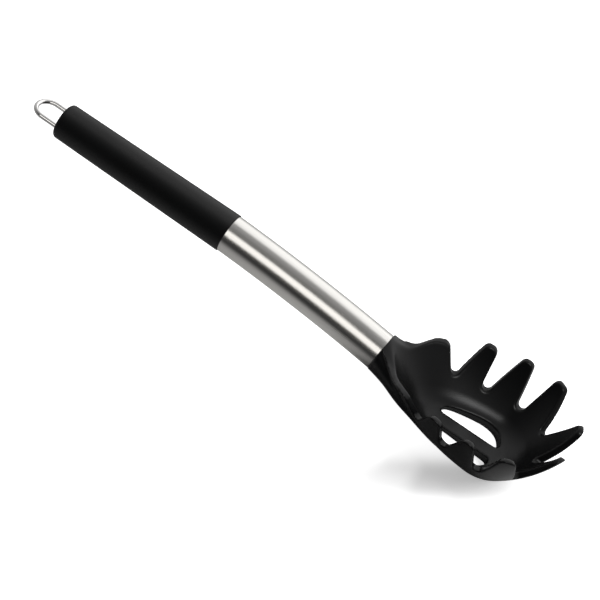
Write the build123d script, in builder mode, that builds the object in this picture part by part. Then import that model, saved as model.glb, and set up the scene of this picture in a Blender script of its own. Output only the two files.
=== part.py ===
"""Pasta server: a black claw bowl on a bent steel tube, with a soft grip and a wire loop.

It lies on a table with the open side of the bowl up. X runs from the loop to the claws, Z is up,
and the whole part is a mirror image about the plane y = 0.
"""
import os
from math import acos, atan2, cos, degrees, hypot, radians, sin, sqrt

from build123d import *

os.makedirs("parts", exist_ok=True)

# Handle line: straight in the grip, a slight kink where the steel starts, then one gentle arc down to the neck
grip_length = 103.7
steel_length = 96.1
grip_tilt = 3.5
joint_kink = 2.0
bend_radius = 1000.0

# Soft grip sleeve: how far it stands over the tube in front, and how much slimmer it is at the rear
grip_front_step = 0.4
grip_taper = 1.8
sleeve_wall = 1.0
grip_end_rounding = 2.0
grip_front_rounding = 0.4

# Steel tube
tube_diameter = 20.4
tube_wall = 0.8

# Stiff core of the grip, with a spigot that plugs into the tube
spigot_length = 22.0
spigot_wall = 1.6
fit_gap = 0.05

# Plug in the rear end of the grip, and the wire loop that it holds
plug_recess = 0.2
plug_cap_thickness = 16.0
plug_stem_length = 10.0
plug_edge_wall = 0.35
wire_diameter = 2.6
loop_reach = 16.8
loop_root_depth = 14.0
loop_foot_bend = 2.4
loop_foot_gap = 1.6

# Head: a bowl with a flat foot, whose walls lean outward and bulge a little between foot and rim
neck_step = 0.3
neck_reach = 60.0
neck_sections = ((-50.0, 12.2, 2.6, 19.6), (-38.0, 16.0, 1.0, 16.8), (-24.0, 17.6, 0.5, 11.0), (-10.0, 17.8, 0.5, 5.5))
bowl_height = 43.0
middle_foot = 8.0
middle_lean_share = -0.09
floor_thickness = 4.1
floor_rise_share = 0.07
wall_at_floor = 5.0
side_foot = 19.0
front_foot = 25.0
rear_foot = 32.0
wall_bulge = 3.3
side_lean_share = 0.534
front_lean_share = 0.482
rear_lean_share = 1.30
side_thinning_share = 0.06
front_thinning_share = 0.06
rear_thinning_share = 0.0
foot_rounding = 5.0
floor_rounding = 4.0

# Claws, from the shoulder forward: place of each tip on the far side, and its height as a share of the bowl's
tip_places = ((-38.2, 25.2), (-17.2, 34.3), (2.0, 38.6), (21.4, 34.2), (41.6, 13.8))
tip_height_shares = (0.572, 0.728, 0.818, 0.891, 0.940)
tip_radius = 3.8

# Gaps between the claws, from the shoulder forward: place of each root on the far side, and its height share
root_places = ((-24.4, 19.4), (-7.6, 23.8), (11.2, 26.2), (24.2, 15.8), (28.6, 0))
root_height_shares = (0.302, 0.308, 0.350, 0.420, 0.388)
root_radius = 2.7

# Rim of the shoulder wings, from the neck until just before the shoulder tip: place along the head and height
wing_rim_places = ((-60.0, 21.3), (-53.0, 19.8), (-48.5, 19.2), (-45.0, 21.2), (-42.0, 23.4))

# Stiff core of the head: place along the head, half width, half thickness and middle height
core_bar = ((-50.0, 6.5, 3.0, 9.2), (-41.0, 7.0, 1.8, 5.6), (-34.0, 7.0, 1.0, 3.2))
core_bar_root = (6.5, 5.0)

# Two drain slots beside a straight rib
slot_front = 14.8
slot_rear = 19.5
slot_inner = 4.6
slot_outer = 15.8
slot_corner = 2.4
slot_curve_shares = ((0.98, 0.48), (0.87, 0.92), (0.66, 1.04), (0.35, 0.84), (0.07, 0.47))

# How far a gap is cut in and out from its root, and how far cutting shapes run past what they cut
gap_cut_in = 12.0
gap_cut_out = 30.0
crown_overrun = 9.0
overrun = 6.0

tilt = radians(grip_tilt)
front_radius = tube_diameter / 2 + grip_front_step
rear_radius = front_radius - grip_taper / 2
neck_radius = tube_diameter / 2 + neck_step
rear_height = (rear_radius - grip_end_rounding) * cos(tilt) + grip_end_rounding * (1 - sin(tilt))
joint_point = (grip_length * cos(tilt), rear_height + grip_length * sin(tilt))
joint_angle = tilt - radians(joint_kink)
bend_centre = (joint_point[0] + bend_radius * sin(joint_angle), joint_point[1] - bend_radius * cos(joint_angle))
bend_axis = Axis((bend_centre[0], 0, bend_centre[1]), (0, 1, 0))


def steel_plane(distance):
    """Plane across the steel tube's middle line at a distance from the grip, facing the head."""
    angle = joint_angle - distance / bend_radius
    x = bend_centre[0] - bend_radius * sin(angle)
    z = bend_centre[1] + bend_radius * cos(angle)
    return Plane(origin=(x, 0, z), x_dir=(0, 1, 0), z_dir=(cos(angle), 0, sin(angle)))


def grip_plane(distance):
    """Plane across the grip's middle line at a distance from its rear end, facing the head."""
    x = distance * cos(tilt)
    z = rear_height + distance * sin(tilt)
    return Plane(origin=(x, 0, z), x_dir=(0, 1, 0), z_dir=(cos(tilt), 0, sin(tilt)))


def grip_radius(distance):
    """Outer radius of the grip, which grows steadily to the front."""
    return rear_radius + (front_radius - rear_radius) * distance / grip_length


def middle(height):
    """Place along the head where a level outline is widest."""
    return middle_foot + middle_lean_share * height


def outer_reach(height):
    """Front, side and rear half sizes of the outer skin at a height, from its widest place."""
    bulge = 4 * wall_bulge * height * (bowl_height - height) / bowl_height**2
    front = front_foot + front_lean_share * height + bulge - middle(height)
    side = side_foot + side_lean_share * height + bulge
    rear = rear_foot + rear_lean_share * height + middle(height)
    return front, side, rear


def inner_reach(height):
    """Front, side and rear half sizes of the hollow at a height, from its widest place."""
    front, side, rear = outer_reach(height)
    rise = max(height - floor_thickness, 0)
    front += front_thinning_share * rise - wall_at_floor
    side += side_thinning_share * rise - wall_at_floor
    rear += rear_thinning_share * rise - wall_at_floor
    return front, side, rear


def crossing_tangent(centre, radius, other, other_radius, side):
    """Touch points of the tangent that crosses between two circles; side is 1 or -1."""
    span = hypot(other[0] - centre[0], other[1] - centre[1])
    aim = atan2(other[1] - centre[1], other[0] - centre[0])
    turn = aim + side * acos((radius + other_radius) / span)
    start = (centre[0] + radius * cos(turn), centre[1] + radius * sin(turn))
    end = (other[0] - other_radius * cos(turn), other[1] - other_radius * sin(turn))
    return start, end


def arc_middle(centre, radius, first, last):
    """Point of a circle half way between two of its points, on their own side."""
    x = (first[0] + last[0]) / 2 - centre[0]
    y = (first[1] + last[1]) / 2 - centre[1]
    return (centre[0] + radius * x / hypot(x, y), centre[1] + radius * y / hypot(x, y))


# Soft sleeve of the grip: a slim cone, cut off where the steel tube starts
side_plane = Plane(origin=grip_plane(0).origin, x_dir=grip_plane(0).z_dir, z_dir=(0, -1, 0))
grip_axis = Axis(grip_plane(0).origin, grip_plane(0).z_dir)
far_end = grip_length + overrun
with BuildPart() as grip_sleeve:
    with BuildSketch(side_plane):
        Polygon((0, 0), (far_end, 0), (far_end, grip_radius(far_end)), (0, grip_radius(0)), align=None)
    revolve(axis=grip_axis)
    split(bisect_by=steel_plane(0), keep=Keep.BOTTOM)
    fillet(grip_sleeve.edges().sort_by(Axis.X)[0], grip_end_rounding)
    fillet(grip_sleeve.edges().sort_by(Axis.X)[-1], grip_front_rounding)
    with BuildSketch(side_plane):
        Polygon(
            (-overrun, 0),
            (far_end, 0),
            (far_end, grip_radius(far_end) - sleeve_wall),
            (-overrun, grip_radius(-overrun) - sleeve_wall),
            align=None,
        )
    revolve(axis=grip_axis, mode=Mode.SUBTRACT)
grip_sleeve.part.label = "grip_sleeve"

# Stiff core of the grip: a slim hollow cone in front of the plug's cap, and the spigot in the steel tube
core_start = plug_recess + plug_cap_thickness
spigot_radius = tube_diameter / 2 - tube_wall - fit_gap
with BuildPart() as grip_core:
    with BuildSketch(side_plane):
        Polygon(
            (core_start, 0),
            (far_end, 0),
            (far_end, grip_radius(far_end) - sleeve_wall),
            (core_start, grip_radius(core_start) - sleeve_wall),
            align=None,
        )
    revolve(axis=grip_axis)
    split(bisect_by=steel_plane(0), keep=Keep.BOTTOM)
    with BuildSketch(steel_plane(0)):
        Circle(spigot_radius)
    revolve(axis=bend_axis, revolution_arc=degrees(spigot_length / bend_radius))
    bore_radius = spigot_radius - spigot_wall
    with BuildSketch(grip_plane(core_start)):
        Circle(bore_radius)
    extrude(amount=grip_length - core_start, mode=Mode.SUBTRACT)
    with BuildSketch(steel_plane(0)):
        Circle(bore_radius)
    revolve(axis=bend_axis, revolution_arc=degrees(spigot_length / bend_radius), mode=Mode.SUBTRACT)
grip_core.part.label = "grip_core"

# Bent steel tube
with BuildPart() as handle_tube:
    with BuildSketch(steel_plane(0)):
        Circle(tube_diameter / 2)
        Circle(tube_diameter / 2 - tube_wall, mode=Mode.SUBTRACT)
    revolve(axis=bend_axis, revolution_arc=degrees(steel_length / bend_radius))
handle_tube.part.label = "handle_tube"

# Wire loop: a U with its two feet turned in, lying level across the handle line
plug_cap_radius = rear_radius - sleeve_wall - fit_gap
leg = plug_cap_radius - plug_edge_wall - wire_diameter / 2
bow_start = loop_reach - wire_diameter / 2 - leg
bend_side = leg - loop_foot_bend
bend_turn = loop_foot_bend * sqrt(0.5)
foot_depth = loop_root_depth
loop_plane = Plane(origin=grip_plane(0).origin, x_dir=(0, 1, 0), z_dir=(sin(tilt), 0, -cos(tilt)))
with BuildPart() as hanging_loop:
    with BuildLine(loop_plane) as loop_line:
        Line((loop_foot_gap / 2, foot_depth), (bend_side, foot_depth))
        ThreePointArc(
            (bend_side, foot_depth),
            (bend_side + bend_turn, foot_depth - loop_foot_bend + bend_turn),
            (leg, foot_depth - loop_foot_bend),
        )
        Line((leg, foot_depth - loop_foot_bend), (leg, -bow_start))
        ThreePointArc((leg, -bow_start), (0, -bow_start - leg), (-leg, -bow_start))
        Line((-leg, -bow_start), (-leg, foot_depth - loop_foot_bend))
        ThreePointArc(
            (-leg, foot_depth - loop_foot_bend),
            (-bend_side - bend_turn, foot_depth - loop_foot_bend + bend_turn),
            (-bend_side, foot_depth),
        )
        Line((-bend_side, foot_depth), (-loop_foot_gap / 2, foot_depth))
    with BuildSketch(Plane(origin=loop_line.line @ 0, z_dir=loop_line.line % 0)):
        Circle(wire_diameter / 2)
    sweep()
hanging_loop.part.label = "hanging_loop"

# Plug: a thick cap in the sleeve, moulded round the wire's legs and feet, and a stem in the core's bore
plug_stem_radius = bore_radius - fit_gap
with BuildPart() as end_plug:
    with BuildSketch(grip_plane(plug_recess)):
        Circle(plug_cap_radius)
    extrude(amount=plug_cap_thickness)
    with BuildSketch(grip_plane(core_start)):
        Circle(plug_stem_radius)
    extrude(amount=plug_stem_length)
    add(hanging_loop.part, mode=Mode.SUBTRACT)
end_plug.part.label = "end_plug"

# Head, placed so that its neck meets the end of the steel tube
neck_plane = steel_plane(steel_length)
head_x = neck_plane.origin.X + neck_reach


def head_plane(x, height):
    """Plane across the head, at a place along it and a height, facing the claws."""
    return Plane(origin=(head_x + x, 0, height), x_dir=(0, 1, 0), z_dir=(1, 0, 0))


# Shapes that the gaps between the claws leave open, each cut straight out through the wall
tips_at = [(x, y, share * bowl_height) for (x, y), share in zip(tip_places, tip_height_shares)]
roots_at = [(x, y, share * bowl_height) for (x, y), share in zip(root_places, root_height_shares)]
near_front_tip = (tips_at[-1][0], -tips_at[-1][1], tips_at[-1][2])
wing_rim = [*wing_rim_places, (tips_at[0][0], tips_at[0][2])]
with BuildPart() as gap_cuts:
    for root, behind, ahead in zip(roots_at, tips_at, tips_at[1:] + [near_front_tip]):
        front, side, rear = outer_reach(root[2])
        reach = front if root[0] > middle(root[2]) else rear
        outward = Vector((root[0] - middle(root[2])) / reach**2, root[1] / side**2, 0).normalized()
        along = Vector(outward.Y, -outward.X, 0)
        root_centre = (0, root[2] + root_radius)
        tips = []
        for tip in (behind, ahead):
            offset = Vector(tip[0] - root[0], tip[1] - root[1], 0)
            tips.append((offset.dot(along), tip[2] - tip_radius))
        flank_behind = crossing_tangent(root_centre, root_radius, tips[0], tip_radius, 1)
        flank_ahead = crossing_tangent(root_centre, root_radius, tips[1], tip_radius, -1)
        crown_behind = (tips[0][0], tips[0][1] + tip_radius)
        crown_ahead = (tips[1][0], tips[1][1] + tip_radius)
        bow_behind = arc_middle(tips[0], tip_radius, crown_behind, flank_behind[1])
        bow_ahead = arc_middle(tips[1], tip_radius, crown_ahead, flank_ahead[1])
        top = bowl_height + overrun
        start = Vector(head_x + root[0], root[1], 0) - outward * gap_cut_in
        with BuildSketch(Plane(origin=start, x_dir=along, z_dir=outward * -1)):
            with BuildLine():
                ThreePointArc(crown_behind, bow_behind, flank_behind[1])
                Line(flank_behind[1], flank_behind[0])
                ThreePointArc(flank_behind[0], (0, root[2]), flank_ahead[0])
                Line(flank_ahead[0], flank_ahead[1])
                ThreePointArc(flank_ahead[1], bow_ahead, crown_ahead)
                Polyline(
                    crown_ahead,
                    (crown_ahead[0] + crown_overrun, crown_ahead[1]),
                    (crown_ahead[0] + crown_overrun, top),
                    (crown_behind[0] - crown_overrun, top),
                    (crown_behind[0] - crown_overrun, crown_behind[1]),
                    crown_behind,
                )
            make_face()
        extrude(amount=-gap_cut_in - gap_cut_out)
    mirror(about=Plane.XZ)

# Region above the rim of the shoulder wings
with BuildPart() as wing_cut:
    with BuildSketch(Plane(origin=(head_x, 0, 0), x_dir=(1, 0, 0), z_dir=(0, -1, 0))):
        with BuildLine():
            Spline(*wing_rim)
            Polyline(
                wing_rim[-1],
                (wing_rim[-1][0], bowl_height + overrun),
                (-rear_foot - 2 * bowl_height, bowl_height + overrun),
                (-rear_foot - 2 * bowl_height, wing_rim[0][1]),
                wing_rim[0],
            )
        make_face()
    extrude(amount=bowl_height + overrun, both=True)

# Hollow of the bowl and the channel that runs up to the neck
with BuildPart() as hollow:
    for height in (0, (bowl_height + overrun) / 2, bowl_height + overrun):
        front, side, rear = inner_reach(height)
        with BuildSketch(Plane(origin=(head_x + middle(height), 0, height))):
            with BuildLine():
                EllipticalCenterArc((0, 0), front, side, start_angle=-90, arc_size=180)
                EllipticalCenterArc((0, 0), rear, side, start_angle=90, arc_size=180)
            make_face()
    loft()
    split(bisect_by=Plane(origin=(head_x, 0, floor_thickness), z_dir=(-floor_rise_share, 0, 1)), keep=Keep.TOP)
    fillet(hollow.faces().sort_by(Axis.Z)[0].edges(), floor_rounding)

# Stiff core of the head: a spigot in the steel tube and a flat bar that runs down into the bowl's back
with BuildPart() as head_core:
    with BuildSketch(neck_plane):
        Circle(spigot_radius)
    revolve(axis=bend_axis, revolution_arc=-degrees(spigot_length / bend_radius))
    with BuildSketch(neck_plane):
        Ellipse(*core_bar_root)
    for x, half_width, half_thickness, bar_height in core_bar:
        with BuildSketch(head_plane(x, bar_height)):
            Ellipse(half_width, half_thickness)
    loft()
head_core.part.label = "head_core"

# Head: bowl and neck, then hollow, gaps, slots and the room for the core
with BuildPart() as head:
    for height in (0, bowl_height / 2, bowl_height):
        front, side, rear = outer_reach(height)
        with BuildSketch(Plane(origin=(head_x + middle(height), 0, height))):
            with BuildLine():
                EllipticalCenterArc((0, 0), front, side, start_angle=-90, arc_size=180)
                EllipticalCenterArc((0, 0), rear, side, start_angle=90, arc_size=180)
            make_face()
    loft()
    fillet(head.faces().sort_by(Axis.Z)[0].edges(), foot_rounding)
    add(wing_cut.part, mode=Mode.SUBTRACT)
    with BuildSketch(neck_plane):
        Circle(neck_radius)
    for x, half_width, bottom, top in neck_sections:
        with BuildSketch(head_plane(x, (top + bottom) / 2)):
            Ellipse(half_width, (top - bottom) / 2)
    loft()
    add(hollow.part, mode=Mode.SUBTRACT)
    add(gap_cuts.part, mode=Mode.SUBTRACT)
    slot_length = slot_front + slot_rear
    slot_width = slot_outer - slot_inner
    slot_curve = [(slot_front, slot_inner)]
    for x_share, y_share in slot_curve_shares:
        slot_curve.append((slot_length * x_share - slot_rear, slot_inner + slot_width * y_share))
    slot_curve.append((-slot_rear, slot_inner))
    with BuildSketch(Plane(origin=(head_x, 0, -overrun))) as slot_outline:
        with BuildLine():
            Spline(*slot_curve)
            Line(slot_curve[-1], slot_curve[0])
        make_face()
        fillet(slot_outline.vertices(), slot_corner)
        mirror(about=Plane.XZ)
    extrude(amount=2 * overrun + floor_thickness, mode=Mode.SUBTRACT)
    add(head_core.part, mode=Mode.SUBTRACT)
head.part.label = "head"

pieces = (head, head_core, handle_tube, grip_core, grip_sleeve, end_plug, hanging_loop)
low_x = min(piece.part.bounding_box().min.X for piece in pieces)
high_x = max(piece.part.bounding_box().max.X for piece in pieces)
low_z = min(piece.part.bounding_box().min.Z for piece in pieces)
centring = Pos(-(low_x + high_x) / 2, 0, -low_z)
for piece in pieces:
    placed = centring * piece.part
    placed.label = piece.part.label
    export_step(placed, f"parts/{piece.part.label}.step")
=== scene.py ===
"""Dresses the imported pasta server: black claw head, brushed steel tube, soft grip and polished wire loop."""
from math import acos, atan2, cos, hypot, radians, sin, sqrt

import bpy
import numpy as np
from mathutils import Matrix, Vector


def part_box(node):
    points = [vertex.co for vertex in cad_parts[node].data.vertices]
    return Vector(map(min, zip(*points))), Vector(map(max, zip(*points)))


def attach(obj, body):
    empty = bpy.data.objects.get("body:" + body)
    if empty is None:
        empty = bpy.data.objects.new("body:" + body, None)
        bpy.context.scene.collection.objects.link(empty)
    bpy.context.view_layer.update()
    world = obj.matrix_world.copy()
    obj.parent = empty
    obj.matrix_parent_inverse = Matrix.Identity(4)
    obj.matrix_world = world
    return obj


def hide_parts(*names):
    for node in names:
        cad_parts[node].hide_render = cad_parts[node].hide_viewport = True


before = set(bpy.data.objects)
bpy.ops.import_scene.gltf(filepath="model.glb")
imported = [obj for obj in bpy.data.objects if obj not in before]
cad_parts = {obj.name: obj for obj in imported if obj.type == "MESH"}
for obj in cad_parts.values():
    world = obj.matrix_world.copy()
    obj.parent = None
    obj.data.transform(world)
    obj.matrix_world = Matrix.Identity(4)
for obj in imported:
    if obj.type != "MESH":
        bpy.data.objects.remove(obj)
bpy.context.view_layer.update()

bl_info = {
    "name": "Pasta server dressing",
    "version": (1, 0, 0),
    "blender": (4, 5, 0),
    "location": "View3D > Sidebar > Server",
    "description": "Builds the visible surfaces, materials, lamps and camera of a pasta server",
    "category": "Object",
}


def length(name, description, value):
    """A length setting in millimetres."""
    return bpy.props.FloatProperty(
        name=name, description=description + ", in millimetres", default=value, min=0.0
    )


def colour(name, description, value):
    """A colour setting."""
    return bpy.props.FloatVectorProperty(
        name=name, description=description, default=value, size=3, subtype="COLOR", min=0.0, max=1.0
    )


class ServerSizes(bpy.types.PropertyGroup):
    """Sizes, the same as in the solids."""

    grip_length: length("Grip length", "Length of the soft grip along its middle line", 103.7)
    steel_length: length("Steel length", "Length of the steel tube along its middle line", 96.1)
    grip_tilt: bpy.props.FloatProperty(
        name="Grip tilt", description="Rise of the grip over the table", default=radians(3.5), subtype="ANGLE"
    )
    joint_kink: bpy.props.FloatProperty(
        name="Joint kink",
        description="Turn of the line where the steel starts",
        default=radians(2.0),
        subtype="ANGLE",
    )
    bend_radius: length("Bend radius", "Radius of the steel tube's gentle bend", 1000.0)
    grip_rear_radius: length("Grip rear radius", "Outer radius of the grip at its rear end", 9.7)
    grip_front_radius: length("Grip front radius", "Outer radius of the grip where the steel starts", 10.6)
    grip_wall: length("Grip wall", "Thickness of the soft sleeve", 1.0)
    grip_rounding: length("Grip rounding", "Rounding of the grip's rear edge", 2.0)
    tube_radius: length("Tube radius", "Outer radius of the steel tube", 10.2)
    tube_wall: length("Tube wall", "Thickness of the steel", 0.8)
    plug_recess: length("Plug recess", "How far the plug sits inside the grip's end", 0.2)
    plug_cap: length("Plug cap", "Thickness of the plug's cap", 16.0)
    plug_stem_length: length("Plug stem length", "Length of the plug's stem", 10.0)
    plug_stem_radius: length("Plug stem radius", "Radius of the plug's stem", 7.7)
    fit_gap: length("Fit gap", "Clearance between the plug and what holds it", 0.05)
    wire_radius: length("Wire radius", "Half the thickness of the loop's wire", 1.3)
    loop_leg: length("Loop leg", "Distance of each leg of the loop from its middle", 7.0)
    loop_reach: length("Loop reach", "How far the loop stands out of the grip", 16.8)
    loop_depth: length("Loop depth", "How far the loop's legs run into the plug", 11.0)
    neck_reach: length("Neck reach", "Distance from the neck's end to the middle of the head", 60.0)
    neck_radius: length("Neck radius", "Radius of the neck at the steel", 10.5)
    edge_softness: length("Edge softness", "Width over which the head's edges are rounded", 0.85)
    neck_softness: length("Neck softness", "Width over which the neck runs into the bowl", 3.0)
    cell: length("Cell", "Grid cell of the head's surface", 0.6)


class ServerColours(bpy.types.PropertyGroup):
    """Base colours of the materials."""

    head: colour("Head", "Black plastic of the head", (0.0030, 0.0030, 0.0036))
    grip: colour("Grip", "Black rubber of the grip", (0.0030, 0.0030, 0.0033))
    steel: colour("Steel", "Brushed steel of the tube", (0.70, 0.685, 0.66))
    wire: colour("Wire", "Polished steel of the loop", (0.78, 0.77, 0.76))
    core: colour("Core", "Dark plastic of the hidden cores", (0.05, 0.05, 0.055))
    floor: colour("Floor", "Floor under the server", (0.9, 0.9, 0.9))


MM_PER_METRE = 1000
# Small enough to change nothing, large enough to divide by
TINY = 1e-6

# How far the handle's line lies over that of the solids, so that the surfaces stay inside their box
LINE_LIFT = 0.03
# A ring of the grip this near to the joint turns with the steel
JOINT_RING = 1

# Points round the tube and the grip, round the plug and round the wire
HANDLE_SIDES = 160
PLUG_SIDES = 96
WIRE_SIDES = 32

# Head measures in millimetres, with x from the middle of the head and y to the far side
BOWL_HEIGHT = 43.0
FLOOR_THICKNESS = 4.1
FLOOR_RISE = 0.07
WALL = 5.0
WALL_THINNING = 0.06
WALL_BULGE = 3.3
# Widest line, front, side and rear: each place at the foot, and what it gains per millimetre of height
MIDDLE_FOOT, MIDDLE_LEAN = 8.0, -0.09
FRONT_FOOT, FRONT_LEAN = 25.0, 0.482
SIDE_FOOT, SIDE_LEAN = 19.0, 0.534
REAR_FOOT, REAR_LEAN = 32.0, 1.30
# About the cosine of the walls' lean, which turns a level distance into one square to the wall
LEAN_COSINE = 0.87
TIPS = (
    (-38.2, 25.2, 0.572 * BOWL_HEIGHT),
    (-17.2, 34.3, 0.728 * BOWL_HEIGHT),
    (2.0, 38.6, 0.818 * BOWL_HEIGHT),
    (21.4, 34.2, 0.891 * BOWL_HEIGHT),
    (41.6, 13.8, 0.940 * BOWL_HEIGHT),
)
ROOTS = (
    (-24.4, 19.4, 0.302 * BOWL_HEIGHT),
    (-7.6, 23.8, 0.308 * BOWL_HEIGHT),
    (11.2, 26.2, 0.350 * BOWL_HEIGHT),
    (24.2, 15.8, 0.420 * BOWL_HEIGHT),
    (28.6, 0.0, 0.388 * BOWL_HEIGHT),
)
TIP_RADIUS = 3.8
ROOT_RADIUS = 2.7
# Kept back from each gap's cut, since the rounding of the claws' edges takes as much off them
CLAW_MARGIN = 0.25
# How far a gap's cut reaches inward from its root, how far it runs past the crowns beside it, and its top
GAP_DEPTH = 12.0
CROWN_MARGIN = 9
GAP_TOP = 60
# Place and height of the wings' rim, which ends at the first claw's tip
WING_RIM = (
    (-60.0, 21.3),
    (-53.0, 19.8),
    (-48.5, 19.2),
    (-45.0, 21.2),
    (-42.0, 23.4),
    (TIPS[0][0], TIPS[0][2]),
)
# Past the first tip the rim's cut stays level for this long and then climbs by this much per millimetre
RIM_LEVEL = 3.0
RIM_CLIMB = 2.0
# Slope of the rim's field, and the place along the head where the rim's cut ends
RIM_SHARE = 0.8
RIM_FRONT = -30
# Place, half width, lower edge and upper edge of the neck's sections after the round one at the steel
NECK_SECTIONS = (
    (-50.0, 12.2, 2.6, 19.6),
    (-38.0, 16.0, 1.0, 16.8),
    (-24.0, 17.6, 0.5, 11.0),
    (-10.0, 17.8, 0.5, 5.5),
)
SLOT_FRONT = 14.8
SLOT_REAR = -19.5
SLOT_INNER = 4.6
SLOT = (
    (SLOT_FRONT, SLOT_INNER),
    (14.1, 10.0),
    (10.3, 14.9),
    (3.1, 16.2),
    (-7.5, 14.0),
    (-17.1, 9.9),
    (SLOT_REAR, SLOT_INNER),
)
# The slot's outline is closed on the other side of the middle, where its inner edge cuts it off
SLOT_CLOSED = -6.0
# Lowest corner, highest corner and step of the tables that hold the outlines of a gap and of the slot
GAP_TABLE = ((-34.0, 5.0), (34.0, 56.0), 0.25)
SLOT_TABLE = ((-26.0, -2.0), (26.0, 24.0), 0.2)
# Widths of roundings: where wall and floor meet and the neck ends inside, the first tip, the slot's corners,
# the neck's end at the steel, and the foot's edge
BROAD_ROUNDING = 6.0
FIRST_TIP_ROUNDING = 3.0
SLOT_ROUNDING = 3.0
NECK_END_ROUNDING = 0.6
FOOT_ROUNDING = 0.5
# How far the foot stays over the table, so that its rounding stays inside the solids' box
FOOT_LIFT = 0.05
# Field far inside a shape, where a cut has no say
FAR_INSIDE = -20.0
# Corners of the grid that holds the far half of the head
HEAD_LOW = (-64.0, 0.0, -1.5)
HEAD_HIGH = (48.0, 42.0, 42.0)

# Share of its glow that the floor keeps in the shadow's band, and the even light that reaches dull surfaces
BAND_GLOW = 0.40
SOFT_LIGHT = 0.20
# The band's long and short direction: share of X, share of Y, offset and half width in metres
BAND_LONG = (0.794, 0.458, -0.080, 0.085)
BAND_SHORT = (-0.536, 0.519, 0.0800, 0.0092)
# Painted reflection, what reflections see of the floor: darker than the white floor and dark on the near side;
# its share of full colour, how fast it falls per metre, power, dark colour
MIRRORED_SHARE = 0.62
MIRRORED_FALL = 26.0
MIRRORED_POWER = 5.0
MIRRORED_DARK = (0.03, 0.03, 0.03, 1)
# What reflections see of the world: the brightness in front, what is added behind, and the power between
WORLD_LEAST = 0.03
WORLD_ADDED = 0.8
WORLD_POWER = 1.4

# Objects that the lamps are linked to
METAL = ("steel_tube", "wire_loop")
SOFT_BLACK = ("soft_sleeve", "grip_end_plug")
HEAD = ("claw_bowl",)

# The camera that was fitted to the photo: picture and focal length in pixels, distance in millimetres,
# pixel where grip and steel meet, angle over the table, share of X in the view and roll, in degrees
PICTURE = 600
FOCAL_LENGTH = 2000
CAMERA_DISTANCE = 1000
JOINT_PIXEL = (229.1, 233.3)
CAMERA_RISE = 41.0
CAMERA_ASIDE = 0.14
CAMERA_ROLL = -34.4
SENSOR_WIDTH = 36.0
# Half the side of the floor in millimetres
FLOOR_HALF = 3000.0


def sizes():
    """The size settings."""
    return bpy.context.scene.server_sizes


def colours():
    """The colour settings."""
    return bpy.context.scene.server_colours


def handle_line():
    """Two functions that give a middle point and a direction angle: one along the grip, one along the steel.

    The grip's rear end touches the table with its rounded edge: its middle lies over the table by the radius
    less the rounding, times the cosine of the tilt, plus the rounding times one less the sine, plus the
    lift. The steel follows an arc whose centre lies square under the joint.
    """
    s = sizes()
    tilt = s.grip_tilt
    low = (s.grip_rear_radius - s.grip_rounding) * cos(tilt) + s.grip_rounding * (1 - sin(tilt)) + LINE_LIFT
    joint = (s.grip_length * cos(tilt), low + s.grip_length * sin(tilt))
    start = tilt - s.joint_kink
    centre = (joint[0] + s.bend_radius * sin(start), joint[1] - s.bend_radius * cos(start))
    loop_rear = -(s.loop_reach - s.wire_radius) * cos(tilt) - s.wire_radius
    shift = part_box("hanging_loop")[0].x * MM_PER_METRE - loop_rear

    def grip(distance):
        angle = tilt if distance < s.grip_length - JOINT_RING else start
        return (distance * cos(tilt) + shift, low + distance * sin(tilt)), angle

    def steel(distance):
        angle = start - distance / s.bend_radius
        return (centre[0] - s.bend_radius * sin(angle) + shift, centre[1] + s.bend_radius * cos(angle)), angle

    return grip, steel


def new_object(name, points, faces, body="root"):
    """Makes a smooth mesh object from points in millimetres and four-sided faces."""
    mesh = bpy.data.meshes.new(name)
    points = np.asarray(points, np.float32) / MM_PER_METRE
    faces = np.asarray(faces, np.int32)
    mesh.vertices.add(len(points))
    mesh.vertices.foreach_set("co", points.ravel())
    mesh.loops.add(faces.size)
    mesh.loops.foreach_set("vertex_index", faces.ravel())
    mesh.polygons.add(len(faces))
    mesh.polygons.foreach_set("loop_start", np.arange(0, faces.size, faces.shape[1], dtype=np.int32))
    mesh.update(calc_edges=True)
    mesh.validate()
    mesh.polygons.foreach_set("use_smooth", np.ones(len(mesh.polygons), bool))
    obj = bpy.data.objects.new(name, mesh)
    bpy.context.scene.collection.objects.link(obj)
    if body:
        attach(obj, body)
    return obj


def ring_faces(count, sides, closed):
    """Four-sided faces between rings of points that follow each other."""
    steps = count if closed else count - 1
    i, j = np.meshgrid(np.arange(steps), np.arange(sides), indexing="ij")
    k, m = (i + 1) % count, (j + 1) % sides
    return np.stack([i * sides + j, i * sides + m, k * sides + m, k * sides + j], -1).reshape(-1, 4)


def spun(name, line, profile, sides, closed=True):
    """Spins a profile of (distance, radius) pairs round a middle line.

    A point is the line's middle at the distance, plus the radius times the cosine along Y and the sine
    along the direction square to the line. A closed profile joins its last ring to its first.
    """
    turn = np.linspace(0, 2 * np.pi, sides, endpoint=False)
    rings = []
    for distance, radius in profile:
        (x, z), angle = line(distance)
        rings.append(np.stack([
            x - radius * np.sin(turn) * sin(angle),
            radius * np.cos(turn),
            z + radius * np.sin(turn) * cos(angle),
        ], -1))
    return new_object(name, np.concatenate(rings), ring_faces(len(profile), sides, closed))


def arc_points(centre, radius, start, end, count):
    """Points of an arc in the plane of distance and radius, with angles in degrees."""
    angles = np.radians(np.linspace(start, end, count))
    return [(centre[0] + radius * cos(a), centre[1] + radius * sin(a)) for a in angles]


def soft_max(a, b, width):
    """The larger of two fields, rounded over a width where they cross."""
    blend = np.maximum(width - np.abs(a - b), 0) / width
    return np.maximum(a, b) + blend * blend * width / 4


def soft_min(a, b, width):
    """The smaller of two fields, rounded over a width where they cross."""
    return -soft_max(-a, -b, width)


def middle(z):
    """Place along the head where a level outline is widest: it moves back with height."""
    return MIDDLE_FOOT + MIDDLE_LEAN * z


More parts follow.
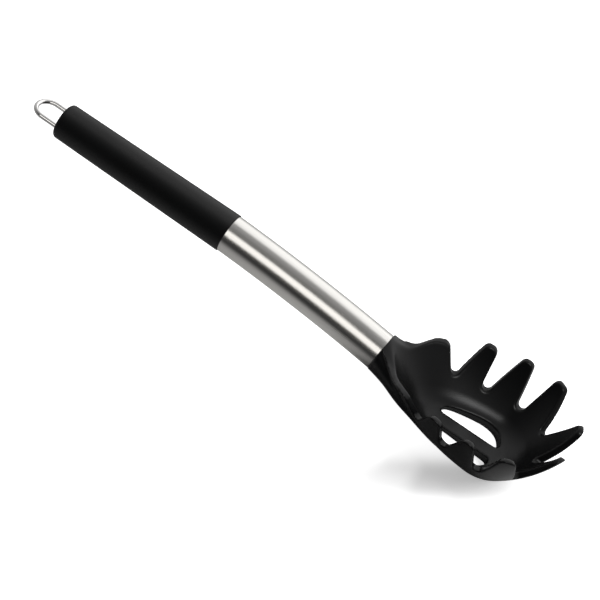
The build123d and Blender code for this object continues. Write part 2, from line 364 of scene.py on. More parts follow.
def outer_reach(z):
    """Front, side and rear half sizes of the outer skin at a height.

    The walls lean out by a share of the height. Front and sides also bulge by a parabola that is zero at
    the foot and at the full height.
    """
    bulge = 4 * WALL_BULGE * z * (BOWL_HEIGHT - z) / BOWL_HEIGHT ** 2
    front = FRONT_FOOT + FRONT_LEAN * z + bulge - middle(z)
    side = SIDE_FOOT + SIDE_LEAN * z + bulge
    rear = REAR_FOOT + REAR_LEAN * z + middle(z)
    return front, side, rear


def inner_reach(z):
    """Front, side and rear half sizes of the hollow at a height: the wall thins a little upward."""
    front, side, rear = outer_reach(z)
    thinning = WALL_THINNING * np.maximum(z - FLOOR_THICKNESS, 0)
    return front + thinning - WALL, side + thinning - WALL, rear - WALL


def level_field(x, y, z, reach):
    """Rough distance to a skin whose level outlines are two half ellipses."""
    front, side, rear = reach(z)
    across = x - middle(z)
    half = np.where(across > 0, front, rear)
    share = np.sqrt((across / half) ** 2 + (y / side) ** 2) + TINY
    radius = np.hypot(across, y)
    return (radius - radius / share) * LEAN_COSINE


def outline_table(outline, low, high, step):
    """Signed distance to a closed outline on a flat grid: negative inside."""
    u = np.arange(low[0], high[0] + step, step)
    w = np.arange(low[1], high[1] + step, step)
    gu, gw = np.meshgrid(u, w, indexing="ij")
    best = np.full(gu.shape, np.inf)
    inside = np.zeros(gu.shape, bool)
    for (ax, ay), (bx, by) in zip(outline, np.roll(outline, -1, 0)):
        squared = (bx - ax) ** 2 + (by - ay) ** 2
        if squared < TINY ** 2:
            continue
        share = np.clip(((gu - ax) * (bx - ax) + (gw - ay) * (by - ay)) / squared, 0, 1)
        best = np.minimum(best, np.hypot(gu - ax - share * (bx - ax), gw - ay - share * (by - ay)))
        if ay != by:
            crosses = ((ay > gw) != (by > gw)) & (gu < (bx - ax) * (gw - ay) / (by - ay) + ax)
            inside ^= crosses
    return np.where(inside, -best, best)


def read_table(table, low, step, u, w):
    """Value of a table between its grid points, each place kept just short of the last one."""
    last_u, last_w = (count - 1.001 for count in table.shape)
    fu = np.clip((u - low[0]) / step, 0, last_u)
    fw = np.clip((w - low[1]) / step, 0, last_w)
    iu, iw = fu.astype(int), fw.astype(int)
    su, sw = fu - iu, fw - iw
    return (
        table[iu, iw] * (1 - su) * (1 - sw) + table[iu + 1, iw] * su * (1 - sw)
        + table[iu, iw + 1] * (1 - su) * sw + table[iu + 1, iw + 1] * su * sw
    )


def crossing_tangent(centre, other, side):
    """Touch points of the tangent that crosses between a root circle and a tip circle."""
    span = hypot(other[0] - centre[0], other[1] - centre[1])
    turn = atan2(other[1] - centre[1], other[0] - centre[0]) + side * acos((ROOT_RADIUS + TIP_RADIUS) / span)
    start = (centre[0] + ROOT_RADIUS * cos(turn), centre[1] + ROOT_RADIUS * sin(turn))
    return start, (other[0] - TIP_RADIUS * cos(turn), other[1] - TIP_RADIUS * sin(turn))


def bow(centre, radius, first, last, count=24):
    """Points of the shorter arc round a centre, from the direction of one point to that of another."""
    start = atan2(first[1] - centre[1], first[0] - centre[0])
    end = atan2(last[1] - centre[1], last[0] - centre[0])
    turn = (end - start + np.pi) % (2 * np.pi) - np.pi
    angles = [start + turn * k / count for k in range(count + 1)]
    return [(centre[0] + radius * cos(a), centre[1] + radius * sin(a)) for a in angles]


def gap_shapes():
    """For each gap between claws: its root, its outward and along directions, and the table of its outline.

    The outline runs over the crown of the claw behind, down the tangent that crosses to the round root, up
    the other tangent, over the crown of the claw ahead, and closes above the head.
    """
    shapes = []
    ahead_tips = TIPS[1:] + ((TIPS[-1][0], -TIPS[-1][1], TIPS[-1][2]),)
    for root, behind, ahead in zip(ROOTS, TIPS, ahead_tips):
        front, side, rear = outer_reach(root[2])
        reach = front if root[0] > middle(root[2]) else rear
        outward = np.array([(root[0] - middle(root[2])) / reach ** 2, root[1] / side ** 2])
        outward /= np.linalg.norm(outward)
        along = np.array([outward[1], -outward[0]])
        centre, bottom = (0.0, root[2] + ROOT_RADIUS), (0.0, root[2])
        tip_one, tip_two = [
            (float(np.dot((tip[0] - root[0], tip[1] - root[1]), along)), tip[2] - TIP_RADIUS)
            for tip in (behind, ahead)
        ]
        crown_one = (tip_one[0], tip_one[1] + TIP_RADIUS)
        crown_two = (tip_two[0], tip_two[1] + TIP_RADIUS)
        one = crossing_tangent(centre, tip_one, 1)
        two = crossing_tangent(centre, tip_two, -1)
        outline = bow(tip_one, TIP_RADIUS, crown_one, one[1]) + bow(centre, ROOT_RADIUS, one[0], bottom)
        outline += bow(centre, ROOT_RADIUS, bottom, two[0]) + bow(tip_two, TIP_RADIUS, two[1], crown_two)
        outline += [
            (crown_two[0] + CROWN_MARGIN, crown_two[1]),
            (crown_two[0] + CROWN_MARGIN, GAP_TOP),
            (crown_one[0] - CROWN_MARGIN, GAP_TOP),
            (crown_one[0] - CROWN_MARGIN, crown_one[1]),
        ]
        shapes.append((root, outward, along, outline_table(np.array(outline), *GAP_TABLE)))
    return shapes


def smooth_points(points, count=12):
    """Points of a smooth curve through the given points, a cubic between each two of them."""
    p = np.array(points, float)
    ext = np.vstack([2 * p[0] - p[1], p, 2 * p[-1] - p[-2]])
    out = []
    for a, b, c, d in zip(ext, ext[1:], ext[2:], ext[3:]):
        slope = c - a
        bend = 2 * a - 5 * b + 4 * c - d
        twist = 3 * b - a - 3 * c + d
        for t in np.linspace(0, 1, count, endpoint=False):
            out.append(0.5 * (2 * b + slope * t + bend * t * t + twist * t ** 3))
    out.append(p[-1])
    return np.array(out)


def read_curve(curve, x):
    """Value of a curve at a place along it."""
    return np.interp(x, curve[:, 0], curve[:, 1])


class HeadField:
    """The head as one field, negative inside the plastic, for points on the far side in head millimetres.

    Plastic is the leaning bowl over its flat foot, trimmed at the rim of the shoulder wings and joined to
    the round neck, less the hollow, less the gaps between the claws, less the two slots. Every crossing of
    two skins is rounded.
    """

    def __init__(self, neck_height, neck_angle):
        self.neck_height = neck_height
        self.neck_angle = neck_angle
        self.gaps = gap_shapes()
        self.rim = smooth_points(WING_RIM)
        outline = np.vstack([smooth_points(SLOT), [(SLOT_REAR, SLOT_CLOSED), (SLOT_FRONT, SLOT_CLOSED)]])
        self.slot = outline_table(outline, *SLOT_TABLE)
        radius = sizes().neck_radius
        round_section = (-sizes().neck_reach, radius, neck_height - radius, neck_height + radius)
        self.neck_width, self.neck_low, self.neck_high = (
            smooth_points([(section[0], section[k]) for section in (round_section, *NECK_SECTIONS)])
            for k in (1, 2, 3)
        )

    def gap_cut(self, gap, side, x, y, z):
        """Field of the open gap on the far side (1) or near side (-1), negative where it is open."""
        root, outward, along, table = gap
        low, _, step = GAP_TABLE
        out = (x - root[0]) * outward[0] + (side * y - root[1]) * outward[1]
        u = (x - root[0]) * along[0] + (side * y - root[1]) * along[1]
        return np.maximum(read_table(table, low, step, u, z) + CLAW_MARGIN, -out - GAP_DEPTH)

    def rim_cut(self, x, y, z):
        """Field that trims the wings at their rim and is rounded into the first gap at the first tip."""
        tip_x, _, tip_z = TIPS[0]
        climb = np.maximum(x - tip_x - RIM_LEVEL, 0) * RIM_CLIMB
        over_rim = (z - np.where(x < tip_x, read_curve(self.rim, x), tip_z)) * RIM_SHARE - climb
        over_rim = np.where(x < RIM_FRONT, over_rim, FAR_INSIDE)
        return soft_max(over_rim, -self.gap_cut(self.gaps[0], 1, x, y, z), FIRST_TIP_ROUNDING)

    def neck(self, x, y, z):
        """Field of the neck, whose sections are ellipses between the lower and the upper edge."""
        top, bottom = read_curve(self.neck_high, x), read_curve(self.neck_low, x)
        half = (top - bottom) / 2
        height = z - (top + bottom) / 2
        share = np.sqrt((y / read_curve(self.neck_width, x)) ** 2 + (height / half) ** 2) + TINY
        radius = np.hypot(y, height)
        return soft_max(radius - radius / share, x - NECK_SECTIONS[-1][0], BROAD_ROUNDING)

    def __call__(self, x, y, z):
        soft = sizes().edge_softness
        bowl = soft_max(level_field(x, y, z, outer_reach), -z, BROAD_ROUNDING)
        bowl = soft_max(bowl, self.rim_cut(x, y, z), soft)
        body = soft_min(bowl, self.neck(x, y, z), sizes().neck_softness)
        behind, over = x + sizes().neck_reach, z - self.neck_height
        end = -(behind * cos(self.neck_angle) + over * sin(self.neck_angle))
        body = soft_max(body, end, NECK_END_ROUNDING)
        floor = FLOOR_THICKNESS + FLOOR_RISE * x - z
        hollow = soft_max(level_field(x, y, z, inner_reach), floor, BROAD_ROUNDING)
        body = soft_max(body, -hollow, soft)
        for gap in self.gaps[1:]:
            for side in (1, -1):
                body = soft_max(body, -self.gap_cut(gap, side, x, y, z), soft)
        low, _, step = SLOT_TABLE
        slot = soft_max(read_table(self.slot, low, step, x, y), SLOT_INNER - y, SLOT_ROUNDING)
        body = soft_max(body, -slot, soft)
        return soft_max(body, FOOT_LIFT - z, FOOT_ROUNDING)


def field_mesh(field, low, high, cell):
    """Points and faces of the skin where the field is zero, mirrored about y = 0.

    One point sits in every grid cell that the skin passes through, at the mean of the crossings on the
    cell's edges, and is then moved onto the skin along the field's slope, in a few steps that are each at
    most a cell long. Each grid edge that crosses the skin gives one face through its four neighbouring
    cells.
    """
    steps_to_skin, least_slope_squared = 3, 0.04
    xs = np.arange(low[0], high[0] + cell, cell)
    count = int(np.ceil(high[1] / cell)) + 2
    ys = (np.arange(-count, count) + 0.5) * cell
    zs = np.arange(low[2], high[2] + cell, cell)
    gx, gy, gz = np.meshgrid(xs, ys[count:], zs, indexing="ij")
    half = field(gx, gy, gz).astype(np.float32)
    values = np.concatenate([half[:, ::-1], half], 1)
    nx, ny, nz = values.shape
    total = np.zeros((nx - 1, ny - 1, nz - 1, 3), np.float32)
    hits = np.zeros((nx - 1, ny - 1, nz - 1), np.float32)
    crossing = []
    for axis in range(3):
        first = [slice(None)] * 3
        last = [slice(None)] * 3
        first[axis], last[axis] = slice(0, -1), slice(1, None)
        a, b = values[tuple(first)], values[tuple(last)]
        cross = (a < 0) != (b < 0)
        crossing.append((cross, a < 0))
        share = np.where(cross, a / np.where(cross, a - b, 1), 0)
        others = [k for k in range(3) if k != axis]
        for da in (0, 1):
            for db in (0, 1):
                pick = [slice(None)] * 3
                for k, d in zip(others, (da, db)):
                    pick[k] = slice(d, values.shape[k] - 1 + d)
                c = cross[tuple(pick)]
                s = share[tuple(pick)]
                hits += c
                total[..., axis] += np.where(c, s, 0)
                for k, d in zip(others, (da, db)):
                    total[..., k] += np.where(c, d, 0)
    live = hits > 0
    index = np.full(live.shape, -1, np.int64)
    index[live] = np.arange(live.sum())
    cells = np.argwhere(live)
    points = (cells + total[live] / hits[live][:, None]) * cell + np.array([xs[0], ys[0], zs[0]])
    faces = []
    for axis in range(3):
        cross, starts_inside = crossing[axis]
        others = [(axis + 1) % 3, (axis + 2) % 3]
        at = np.argwhere(cross)
        keep = np.ones(len(at), bool)
        for k in others:
            keep &= (at[:, k] > 0) & (at[:, k] < values.shape[k] - 1)
        at = at[keep]
        step_a, step_b = np.eye(3, dtype=int)[others]
        quad = np.stack([index[tuple((at - d).T)] for d in (step_a + step_b, step_b, 0, step_a)], -1)
        flip = ~starts_inside[tuple(at.T)]
        quad[flip] = quad[flip][:, ::-1]
        faces.append(quad)
    small = cell * 0.25
    for _ in range(steps_to_skin):
        x, y, z = points[:, 0], points[:, 1], points[:, 2]
        here = field(x, np.abs(y), z)
        slope = np.stack([
            field(x + small, np.abs(y), z) - field(x - small, np.abs(y), z),
            field(x, np.abs(y + small), z) - field(x, np.abs(y - small), z),
            field(x, np.abs(y), z + small) - field(x, np.abs(y), z - small),
        ], -1) / (2 * small)
        size = np.maximum((slope ** 2).sum(-1), least_slope_squared)
        points -= np.clip(here / size, -cell, cell)[:, None] * slope
    return points, np.concatenate(faces)


class Maths:
    """Shader arithmetic written as plain sums and products."""

    def __init__(self, tree, socket):
        self.tree = tree
        self.socket = socket

    def _join(self, other, operation):
        node = self.tree.nodes.new("ShaderNodeMath")
        node.operation = operation
        self.tree.links.new(self.socket, node.inputs[0])
        if isinstance(other, Maths):
            self.tree.links.new(other.socket, node.inputs[1])
        else:
            node.inputs[1].default_value = other
        return Maths(self.tree, node.outputs[0])

    def __add__(self, other):
        return self._join(other, "ADD")

    def __mul__(self, other):
        return self._join(other, "MULTIPLY")

    def power(self, other):
        return self._join(other, "POWER")

    def at_least(self, other):
        return self._join(other, "MAXIMUM")

    def to(self, socket):
        self.tree.links.new(self.socket, socket)


def fresh_material(name):
    """A new material with its tree, its surface shader and its object coordinates."""
    material = bpy.data.materials.new(name)
    material.use_nodes = True
    tree = material.node_tree
    shader = tree.nodes["Principled BSDF"]
    coordinates = tree.nodes.new("ShaderNodeTexCoord")
    return material, tree, shader, coordinates.outputs["Object"]


def noise(tree, vector, scale, detail, roughness=0.5):
    """Noise of about one cell per 1/scale metres, centred near one half."""
    node = tree.nodes.new("ShaderNodeTexNoise")
    node.inputs["Scale"].default_value = scale
    node.inputs["Detail"].default_value = detail
    node.inputs["Roughness"].default_value = roughness
    tree.links.new(vector, node.inputs["Vector"])
    return Maths(tree, node.outputs["Fac"])


def stretched(tree, vector, along, across):
    """Coordinates scaled by one factor along X and by another across it."""
    node = tree.nodes.new("ShaderNodeMapping")
    node.inputs["Scale"].default_value = (along, across, across)
    tree.links.new(vector, node.inputs["Vector"])
    return node.outputs["Vector"]


def tint(tree, shader, share, base, darkest, lightest):
    """Base colour that runs with a share between a darker and a lighter tone of one colour."""
    mix = tree.nodes.new("ShaderNodeMix")
    mix.data_type = "RGBA"
    share.to(mix.inputs["Factor"])
    mix.inputs["A"].default_value = (*(c * darkest for c in base), 1)
    mix.inputs["B"].default_value = (*(min(1, c * lightest) for c in base), 1)
    tree.links.new(mix.outputs["Result"], shader.inputs["Base Color"])


def relief(tree, shader, height, strength, distance=0.0002):
    """Bump from a height."""
    bump = tree.nodes.new("ShaderNodeBump")
    bump.inputs["Strength"].default_value = strength
    bump.inputs["Distance"].default_value = distance
    height.to(bump.inputs["Height"])
    tree.links.new(bump.outputs["Normal"], shader.inputs["Normal"])


def plastic(name, base, roughness, grain, sheen):
    """Moulded plastic: fine grain, faint unevenness of gloss, and a colour that hardly varies.

    The roughness is the given one, plus a tenth of a broad noise and a twentieth of the fine grain, each
    less its mean of one half.
    """
    broad_scale, broad_share, fine_share = 45.0, 0.10, 0.05
    material, tree, shader, place = fresh_material(name)
    fine = noise(tree, place, grain, detail=2.0)
    broad = noise(tree, place, broad_scale, detail=2.0)
    tint(tree, shader, broad, base, darkest=0.8, lightest=1.25)
    mean = (broad_share + fine_share) / 2
    (broad * broad_share + fine * fine_share + (roughness - mean)).to(shader.inputs["Roughness"])
    shader.inputs["Specular IOR Level"].default_value = sheen
    relief(tree, shader, fine, strength=0.06)
    return material


def brushed_steel():
    """Stainless steel with fine scratches that run along the tube."""
    material, tree, shader, place = fresh_material("brushed_tube")
    lines = noise(tree, stretched(tree, place, along=14.0, across=900.0), 1.0, detail=4.0, roughness=0.65)
    fine = noise(tree, stretched(tree, place, along=40.0, across=3200.0), 1.0, detail=2.0, roughness=0.6)
    tint(tree, shader, lines, colours().steel, darkest=0.86, lightest=1.12)
    smoothest, lines_share, fine_share = 0.17, 0.10, 0.06
    (lines * lines_share + fine * fine_share + smoothest).to(shader.inputs["Roughness"])
    shader.inputs["Metallic"].default_value = 1.0
    relief(tree, shader, lines * 0.6 + fine * 0.4, strength=0.10)
    return material


def polished_wire():
    """Polished stainless wire."""
    material, tree, shader, place = fresh_material("polished_wire")
    faint = noise(tree, place, 600.0, detail=2.0)
    tint(tree, shader, faint, colours().wire, darkest=0.94, lightest=1.04)
    smoothest, faint_share = 0.07, 0.06
    (faint * faint_share + smoothest).to(shader.inputs["Roughness"])
    shader.inputs["Metallic"].default_value = 1.0
    return material


class SERVER_OT_head(bpy.types.Operator):
    """Claw bowl with its neck."""

    bl_idname = "server.head"
    bl_label = "Head"

    def execute(self, context):
        _, steel = handle_line()
        (neck_x, neck_z), angle = steel(sizes().steel_length)
        points, faces = field_mesh(HeadField(neck_z, angle), HEAD_LOW, HEAD_HIGH, sizes().cell)
        points[:, 0] += neck_x + sizes().neck_reach
        obj = new_object("claw_bowl", points, faces)
        look = plastic("head_plastic", colours().head, roughness=0.31, grain=2600.0, sheen=0.50)
        obj.data.materials.append(look)
        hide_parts("head")
        return {"FINISHED"}


class SERVER_OT_tube(bpy.types.Operator):
    """Bent steel tube."""

    bl_idname = "server.tube"
    bl_label = "Tube"

    def execute(self, context):
        s = sizes()
        _, steel = handle_line()
        end, inner = s.steel_length, s.tube_radius - s.tube_wall
        lip, lip_rings = 0.25, 5
        outer_start, outer_rings = 2, 60
        inner_start, inner_rings = 4, 20
        profile = arc_points((lip, s.tube_radius - lip), lip, 180, 90, lip_rings)
        profile += [(d, s.tube_radius) for d in np.linspace(outer_start, end - outer_start, outer_rings)]
        profile += arc_points((end - lip, s.tube_radius - lip), lip, 90, 0, lip_rings)
        profile += [(end, inner)]
        profile += [(d, inner) for d in np.linspace(end - inner_start, inner_start, inner_rings)]
        profile += [(0.0, inner)]
        obj = spun("steel_tube", steel, profile, HANDLE_SIDES)
        obj.data.materials.append(brushed_steel())
        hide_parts("handle_tube")
        return {"FINISHED"}


def sleeve_profile(s):
    """Closed profile of the sleeve: its bore, its round rear edge, its tapering outside and its front lip."""

    def radius(distance):
        return s.grip_rear_radius + (s.grip_front_radius - s.grip_rear_radius) * distance / s.grip_length

    front = s.grip_length
    mouth, first_ring, last_ring, rings = 0.55, 4, 3, 44
    rear_start, rear_rings = 152, 12
    lip, lip_rings, inward = 0.45, 6, 4
    rear_centre = (s.grip_rounding, s.grip_rear_radius - s.grip_rounding)
    rear_arc = arc_points(rear_centre, s.grip_rounding, rear_start, 90, rear_rings)
    inner = s.grip_rear_radius - s.grip_wall
    profile = [(s.plug_recess + s.plug_cap, inner), (mouth, inner)]
    profile += [(d, r + (radius(d) - s.grip_rear_radius)) for d, r in rear_arc]
    profile += [(d, radius(d)) for d in np.linspace(first_ring, front - last_ring, rings)]
    profile += arc_points((front - lip, radius(front) - lip), lip, 90, 0, lip_rings)
    profile += [(front, radius(front) - s.grip_wall), (front - inward, radius(front - inward) - s.grip_wall)]
    return profile


def plug_profile(s):
    """Open profile of the plug: its face with a round edge, its cap and its stem, from middle to middle."""
    edge, edge_rings, face_share, near_middle = 0.3, 5, 5, 0.01
    cap = s.grip_rear_radius - s.grip_wall - s.fit_gap
    behind_cap = s.plug_recess + s.plug_cap
    stem, stem_end = s.plug_stem_radius, behind_cap + s.plug_stem_length
    profile = [(s.plug_recess, near_middle), (s.plug_recess, cap - face_share * edge)]
    profile += arc_points((s.plug_recess + edge, cap - edge), edge, 180, 90, edge_rings)
    profile += [(behind_cap - s.fit_gap, cap), (behind_cap, stem)]
    profile += [(stem_end - s.fit_gap, stem), (stem_end, near_middle)]
    return profile


class SERVER_OT_grip(bpy.types.Operator):
    """Soft grip sleeve, its plug and the two hidden cores."""

    bl_idname = "server.grip"
    bl_label = "Grip"

    def execute(self, context):
        s = sizes()
        grip, _ = handle_line()
        sleeve = spun("soft_sleeve", grip, sleeve_profile(s), HANDLE_SIDES)
        rubber = plastic("grip_rubber", colours().grip, roughness=0.50, grain=1800.0, sheen=0.34)
        sleeve.data.materials.append(rubber)
        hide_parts("grip_sleeve")
        plug = spun("grip_end_plug", grip, plug_profile(s), PLUG_SIDES, closed=False)
        moulded = plastic("plug_plastic", colours().grip, roughness=0.45, grain=2200.0, sheen=0.25)
        plug.data.materials.append(moulded)
        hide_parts("end_plug")
        core = plastic("core_plastic", colours().core, roughness=0.55, grain=1500.0, sheen=0.5)
        for name in ("grip_core", "head_core"):
            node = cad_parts[name]
            node.data.materials.clear()
            node.data.materials.append(core)
        return {"FINISHED"}


class SERVER_OT_loop(bpy.types.Operator):
    """Polished wire loop."""

    bl_idname = "server.loop"
    bl_label = "Loop"

    def execute(self, context):
        s = sizes()
        grip, _ = handle_line()
        (x0, z0), tilt = grip(0)
        leg, leg_rings, bow_rings = s.loop_leg, 24, 40
        straight = s.loop_reach - s.wire_radius - leg
        path = [(leg, d) for d in np.linspace(s.loop_depth, -straight, leg_rings)]
        turns = np.linspace(0, np.pi, bow_rings)[1:-1]
        path += [(leg * cos(a), -straight - leg * sin(a)) for a in turns]
        path += [(-leg, d) for d in np.linspace(-straight, s.loop_depth, leg_rings)]
        path = np.array(path)
        tangent = np.gradient(path, axis=0)
        tangent /= np.linalg.norm(tangent, axis=1)[:, None]
        turn = np.linspace(0, 2 * np.pi, WIRE_SIDES, endpoint=False)
        side, up = np.cos(turn) * s.wire_radius, np.sin(turn) * s.wire_radius
        rings = []
        for (y, d), (ty, td) in zip(path, tangent):
            out = d - side * ty
            rings.append(np.stack([
                x0 + out * cos(tilt) - up * sin(tilt),
                y + side * td,
                z0 + out * sin(tilt) + up * cos(tilt),
            ], -1))
        outward_faces = ring_faces(len(path), WIRE_SIDES, closed=False)[:, [0, 3, 2, 1]]
        obj = new_object("wire_loop", np.concatenate(rings), outward_faces)
        obj.data.materials.append(polished_wire())
        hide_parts("hanging_loop")
        return {"FINISHED"}


def object_group(name, members):
    """A collection that holds the named objects."""
    group = bpy.data.collections.new(name)
    for member in members:
        group.objects.link(bpy.data.objects[member])
    return group


def link_lamp(lamp_object, name, lit, shading=None):
    """Lets a lamp light only the objects named lit, and only those named shading throw a shadow in it."""
    lamp_object.light_linking.receiver_collection = object_group(name, lit)
    if shading:
        lamp_object.light_linking.blocker_collection = object_group(name + "_shadows", shading)


def put(obj, x_axis, y_axis, z_axis, place):
    """Turns an object to three axes and moves it to a place in metres."""
    rows = [(x_axis[k], y_axis[k], z_axis[k], place[k]) for k in range(3)]
    obj.matrix_world = Matrix((*rows, (0, 0, 0, 1)))


def lamp(name, place, target, width, height, power, colour=(1, 1, 1)):
    """Soft area lamp that looks at a target; places in metres."""
    nearly_along = 0.9
    data = bpy.data.lights.new(name, "AREA")
    data.shape = "RECTANGLE"
    data.size, data.size_y = width, height
    data.energy = power
    data.color = colour
    obj = bpy.data.objects.new(name, data)
    bpy.context.scene.collection.objects.link(obj)
    back = np.array(place, float) - np.array(target, float)
    back /= np.linalg.norm(back)
    right = np.cross((1.0, 0, 0) if abs(back[0]) < nearly_along else (0, 1.0, 0), back)
    right /= np.linalg.norm(right)
    put(obj, np.cross(back, right), right, back, place)
    return obj


def white_floor():
    """Floor that looks white to the camera and keeps the head's shadow.

    The camera sees it glow at full strength, except in an oval band under the head, where the glow drops so
    that the lamp's shadow of the head shows. The band's share is one over one plus the square of the sum of
    the squares of the two distances from its centre, each over its half width. As a painted reflection,
    mirror-like reflections see the floor fall from 0.62 of its colour at the middle line to dark on the near
    side, as one over one plus the fifth power of 26 times the distance in metres; only reflections see it
    dark.
    """
    material = bpy.data.materials.new("floor_white")
    material.use_nodes = True
    tree = material.node_tree
    tree.nodes.clear()
    out = tree.nodes.new("ShaderNodeOutputMaterial")
    path = tree.nodes.new("ShaderNodeLightPath")
    place = tree.nodes.new("ShaderNodeSeparateXYZ")
    coordinates = tree.nodes.new("ShaderNodeTexCoord")
    tree.links.new(coordinates.outputs["Object"], place.inputs[0])
    x, y = Maths(tree, place.outputs["X"]), Maths(tree, place.outputs["Y"])
    # Painted reflection: the floor darkens only in reflections, towards the near side
    near = (y * -MIRRORED_FALL).at_least(0.0)
    fall = (near.power(MIRRORED_POWER) + 1.0).power(-1.0)
    dark = (fall * -MIRRORED_SHARE + 1.0) * Maths(tree, path.outputs["Is Glossy Ray"])
    mix = tree.nodes.new("ShaderNodeMix")
    mix.data_type = "RGBA"
    dark.to(mix.inputs["Factor"])
    mix.inputs["A"].default_value = (*colours().floor, 1)
    mix.inputs["B"].default_value = MIRRORED_DARK
    diffuse = tree.nodes.new("ShaderNodeBsdfDiffuse")
    tree.links.new(mix.outputs["Result"], diffuse.inputs["Color"])

    def across(direction):
        share_x, share_y, offset, half_width = direction
        return (x * share_x + y * share_y + offset) * (1 / half_width)

    lengthwise, crosswise = across(BAND_LONG), across(BAND_SHORT)
    oval = lengthwise * lengthwise + crosswise * crosswise
    band = (oval * oval + 1.0).power(-1.0)
    glow = tree.nodes.new("ShaderNodeEmission")
    seen = Maths(tree, path.outputs["Is Camera Ray"])
    ((band * (BAND_GLOW - 1.0) + 1.0) * seen).to(glow.inputs["Strength"])
    add = tree.nodes.new("ShaderNodeAddShader")
    tree.links.new(diffuse.outputs[0], add.inputs[0])
    tree.links.new(glow.outputs[0], add.inputs[1])
    tree.links.new(add.outputs[0], out.inputs["Surface"])
    return material


def studio_world():
    """White to the camera, even grey for soft light, and in reflections bright behind and dark in front.

    A reflection sees the least brightness, plus what is added times the power 1.4 of half of one plus the
    direction's Y.
    """
    world = bpy.data.worlds.new("studio")
    world.use_nodes = True
    tree = world.node_tree
    back = tree.nodes["Background"]
    back.inputs["Color"].default_value = (1, 1, 1, 1)
    path = tree.nodes.new("ShaderNodeLightPath")
    coordinates = tree.nodes.new("ShaderNodeTexCoord")
    place = tree.nodes.new("ShaderNodeSeparateXYZ")
    tree.links.new(coordinates.outputs["Generated"], place.inputs[0])
    camera = Maths(tree, path.outputs["Is Camera Ray"])
    glossy = Maths(tree, path.outputs["Is Glossy Ray"])
    behind = (Maths(tree, place.outputs["Y"]) * 0.5 + 0.5).power(WORLD_POWER)
    reflected = glossy * (behind * WORLD_ADDED + WORLD_LEAST)
    soft = (camera * -1.0 + glossy * -1.0 + 1.0) * SOFT_LIGHT
    (camera + reflected + soft).to(back.inputs["Strength"])
    return world


def photo_camera(scene):
    """The camera of the photo: it looks at the joint of grip and steel, which it sees at a known pixel.

    In the grip's frame the view leans aside by a share of X, rises by an angle and is rolled. The place is
    the view times the distance, less the joint's distance from the picture's centre, which is its distance
    in pixels times the camera's distance over its focal length.
    """
    s = sizes()
    grip, _ = handle_line()
    (joint_x, joint_z), _ = grip(s.grip_length)
    tilt, rise, roll = s.grip_tilt, radians(CAMERA_RISE), radians(CAMERA_ROLL)
    rest = sqrt(1 - CAMERA_ASIDE ** 2)
    view = np.array([CAMERA_ASIDE, -cos(rise) * rest, sin(rise) * rest])
    level = np.array([1.0, 0, 0]) - view * CAMERA_ASIDE
    level /= np.linalg.norm(level)
    right = cos(roll) * level - sin(roll) * np.cross(view, level)
    up = np.cross(view, right)
    per_pixel = CAMERA_DISTANCE / FOCAL_LENGTH
    aside = (JOINT_PIXEL[0] - PICTURE / 2) * per_pixel
    above = (PICTURE / 2 - JOINT_PIXEL[1]) * per_pixel
    place = view * CAMERA_DISTANCE - right * aside - up * above
    turned = np.array([[cos(tilt), 0, -sin(tilt)], [0, 1, 0], [sin(tilt), 0, cos(tilt)]])
    place = turned @ place + np.array([joint_x, 0, joint_z])
    camera = bpy.data.objects.new("camera", bpy.data.cameras.new("camera"))
    scene.collection.objects.link(camera)
    camera.data.sensor_width = SENSOR_WIDTH
    camera.data.lens = SENSOR_WIDTH * FOCAL_LENGTH / PICTURE
    camera.data.clip_start = 0.05
    camera.data.clip_end = 20.0
    put(camera, turned @ right, turned @ up, turned @ view, place / MM_PER_METRE)
    scene.camera = camera


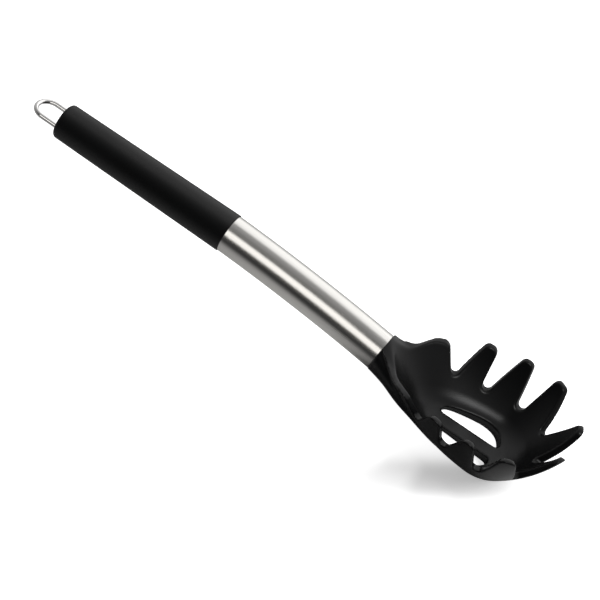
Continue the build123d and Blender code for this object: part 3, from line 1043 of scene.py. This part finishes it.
class SERVER_OT_stage(bpy.types.Operator):
    """Pale floor, lamps, world and camera."""

    bl_idname = "server.stage"
    bl_label = "Stage"

    def execute(self, context):
        scene = context.scene
        scene.view_settings.view_transform = "Standard"
        corners = [(FLOOR_HALF * i, FLOOR_HALF * j, 0) for i, j in ((-1, -1), (1, -1), (1, 1), (-1, 1))]
        floor = new_object("floor", corners, [(0, 1, 2, 3)], None)
        floor.data.materials.append(white_floor())
        scene.world = studio_world()
        behind = lamp(
            "softbox_behind", (0.25, 0.80, 0.74), target=(0.05, 0, 0), width=1.7, height=1.25, power=4.9
        )
        link_lamp(behind, "lit_from_behind", METAL + SOFT_BLACK)
        front = lamp(
            "softbox_front", (-0.05, -1.22, 0.87), target=(0, 0, 0), width=2.0, height=0.88, power=8.2,
            colour=(1, 0.985, 0.96),
        )
        link_lamp(front, "lit_from_front", METAL)
        above = lamp("softbox_above", (0, 0.10, 1.0), target=(0, 0, 0), width=1.6, height=0.4, power=2.4)
        link_lamp(above, "lit_from_above", SOFT_BLACK)
        bowl = lamp(
            "bowl_lamp", (0.29, -0.52, 0.80), target=(0.11, 0, 0), width=0.36, height=0.24, power=1.35
        )
        link_lamp(bowl, "lit_by_bowl_lamp", HEAD)
        low = lamp(
            "floor_lamp", (0.52, 0.45, 0.62), target=(0.11, -0.03, 0), width=0.85, height=0.8, power=9.2
        )
        link_lamp(low, "lit_by_floor_lamp", ("floor",), HEAD)
        photo_camera(scene)
        return {"FINISHED"}


class SERVER_PT_panel(bpy.types.Panel):
    """Sidebar panel with one button per group."""

    bl_label = "Pasta server"
    bl_idname = "SERVER_PT_panel"
    bl_space_type = "VIEW_3D"
    bl_region_type = "UI"
    bl_category = "Server"

    def draw(self, context):
        for operator in OPERATORS:
            self.layout.operator(operator.bl_idname)
        for name in ServerSizes.__annotations__:
            self.layout.prop(context.scene.server_sizes, name)
        for name in ServerColours.__annotations__:
            self.layout.prop(context.scene.server_colours, name)


OPERATORS = (SERVER_OT_head, SERVER_OT_tube, SERVER_OT_grip, SERVER_OT_loop, SERVER_OT_stage)
CLASSES = (ServerSizes, ServerColours, *OPERATORS, SERVER_PT_panel)


def register():
    """Adds the settings, operators and panel to Blender."""
    for item in CLASSES:
        bpy.utils.register_class(item)
    bpy.types.Scene.server_sizes = bpy.props.PointerProperty(type=ServerSizes)
    bpy.types.Scene.server_colours = bpy.props.PointerProperty(type=ServerColours)


def unregister():
    """Takes them out again."""
    del bpy.types.Scene.server_sizes
    del bpy.types.Scene.server_colours
    for item in reversed(CLASSES):
        bpy.utils.unregister_class(item)


def main():
    """Builds everything in the current scene."""
    register()
    bpy.ops.server.head()
    bpy.ops.server.tube()
    bpy.ops.server.grip()
    bpy.ops.server.loop()
    bpy.ops.server.stage()


if __name__ == "__main__":
    main()
